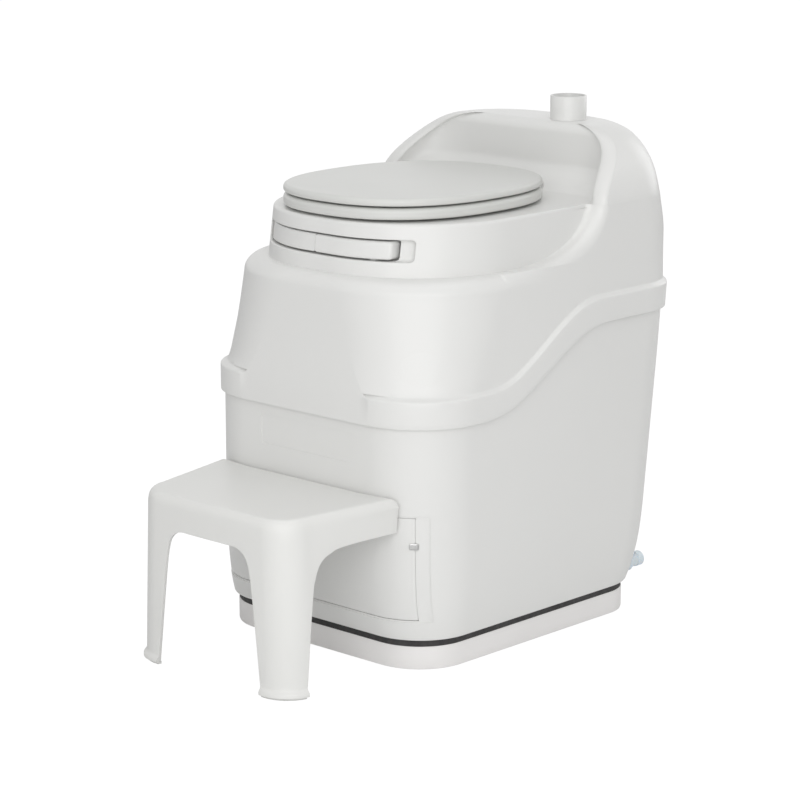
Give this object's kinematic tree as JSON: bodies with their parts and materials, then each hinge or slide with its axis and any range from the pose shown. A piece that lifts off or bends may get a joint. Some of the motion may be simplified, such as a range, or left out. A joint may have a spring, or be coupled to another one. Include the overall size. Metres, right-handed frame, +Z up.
{
  "type": "composting toilet",
  "caption": "Self-contained composting toilet with a turning drum, a crank in its front, a finishing drawer, a vent stub and a step stool.",
  "frame": {"origin": "middle of the footprint of the whole part at floor level", "axes": "+Z up, the front with the step stool faces -Y, +X is to the right of somebody facing the back wall"},
  "size_m": [0.516, 0.8746, 0.843],
  "materials": {
    "shell_white": "smooth moulded, semi-gloss",
    "lid_white": "smooth, satin",
    "tray_white": "smooth moulded, satin",
    "stool_white": "fine textured top, satin sides",
    "inner_plastic": "satin moulded",
    "dark_rubber": "soft matte",
    "dark_plastic": "satin",
    "steel": "brushed",
    "drain_plastic": "cloudy, slightly blue"
  },
  "bodies": {
    "housing": {"base_tray": "tray_white", "base_seal": "dark_rubber", "lower_shell": "shell_white", "upper_shell": "shell_white", "evaporation_floor": "steel", "heating_element": "steel", "thermostat": "dark_plastic", "drawer_runners": "inner_plastic", "front_bulkhead": "inner_plastic", "rear_bulkhead": "inner_plastic", "drum_bearings": "dark_plastic", "drive_bushing": "dark_plastic", "crank_pocket": "shell_white", "bowl_liner": "inner_plastic", "seat_hinge_posts": "shell_white", "seat_nuts": "inner_plastic", "seat_hinge_pins": "steel", "fan_housing": "inner_plastic", "fan_motor": "dark_plastic", "vent_stub": "shell_white", "drain_stub": "drain_plastic", "drain_gasket": "drain_plastic", "cord_gland": "dark_plastic"},
    "seat": {"seat_ring": "lid_white", "seat_buffers": "inner_plastic"},
    "lid": {"seat_lid": "lid_white", "lid_hinge_arms": "lid_white", "lid_buffers": "inner_plastic"},
    "drum": {"drum_shell": "inner_plastic", "drum_front_end": "inner_plastic", "drum_rear_end": "inner_plastic", "drum_gear": "steel", "mixing_bars": "steel", "drum_door_pin": "steel"},
    "port_door": {"drum_door": "shell_white"},
    "drive": {"drive_shaft": "steel", "drive_pinion": "steel", "drive_socket": "steel"},
    "crank": {"crank_arm": "shell_white", "crank_grip": "shell_white"},
    "drawer": {"finishing_drawer": "inner_plastic", "drawer_front": "shell_white", "drawer_catch": "steel"},
    "stool": {"step_stool": "stool_white", "stool_pads": "dark_rubber"},
    "fan": {"fan_impeller": "inner_plastic"}
  },
  "joints": [
    {"name": "seat_ring_hinge", "type": "hinge", "parent": "housing", "child": "seat", "pos_m": [0, 0.236, 0.708], "axis": [-1, 0, 0], "range_deg": [0, 92]},
    {"name": "seat_lid_hinge", "type": "hinge", "parent": "seat", "child": "lid", "pos_m": [0, 0.236, 0.708], "axis": [1, 0, 0], "range_deg": [-92, 0]},
    {"name": "crank_pull", "type": "slide", "parent": "housing", "child": "crank", "axis": [0, -1, 0], "range_m": [0, 0.08]},
    {"name": "drum_turn", "type": "hinge", "parent": "housing", "child": "drum", "pos_m": [0, -0.1145, 0.443], "axis": [0, 1, 0], "continuous": true},
    {"name": "drive_turn", "type": "hinge", "parent": "housing", "child": "drive", "pos_m": [0, -0.1145, 0.653], "axis": [0, 1, 0], "continuous": true},
    {"name": "port_door_hinge", "type": "hinge", "parent": "drum", "child": "port_door", "pos_m": [0.06466, -0.0145, 0.58167], "axis": [0, -1, 0], "range_deg": [0, 75]},
    {"name": "stool_slide", "type": "slide", "parent": "housing", "child": "stool", "axis": [0, -1, 0], "range_m": [0, 0.4]},
    {"name": "drawer_slide", "type": "slide", "parent": "housing", "child": "drawer", "axis": [0, -1, 0], "range_m": [0, 0.34]},
    {"name": "fan_spin", "type": "hinge", "parent": "housing", "child": "fan", "pos_m": [0.057, 0.3475, 0.6], "axis": [0, 0, 1], "continuous": true}
  ],
  "couplings": [
    {"joint": "drive_turn", "follows": "drum_turn", "ratio": -6},
    {"joint": "drawer_slide", "follows": "stool_slide", "ratio": 0.85}
  ]
}
